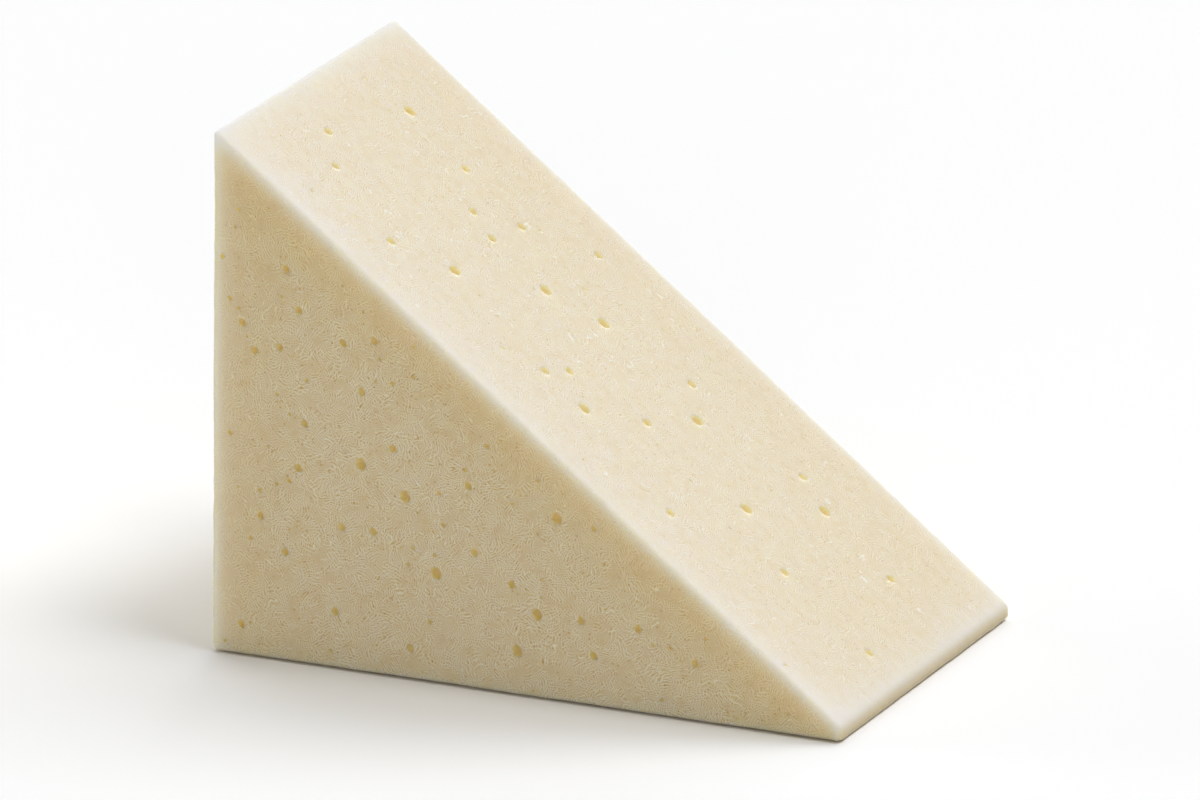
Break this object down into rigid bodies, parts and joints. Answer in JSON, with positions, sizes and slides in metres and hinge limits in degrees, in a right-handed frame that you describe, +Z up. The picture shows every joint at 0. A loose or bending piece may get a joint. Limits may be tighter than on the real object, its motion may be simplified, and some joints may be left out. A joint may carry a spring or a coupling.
{
  "type": "foam wedge",
  "caption": "Small cream latex foam block cut to a right-triangle wedge, with softened edges, a thin blunt toe and open bubbles over every face.",
  "frame": {"origin": "the middle of the base, at the height of the surface it stands on", "axes": "+Z up; +X from the upright back to the thin toe; +Y across, from the near side to the far side"},
  "size_m": [0.05, 0.032, 0.04],
  "materials": {
    "latex_foam": "matt cream latex foam with fine open cells, slightly see-through at its edges"
  },
  "bodies": {
    "root": {"foam_wedge": "latex_foam"}
  },
  "joints": []
}
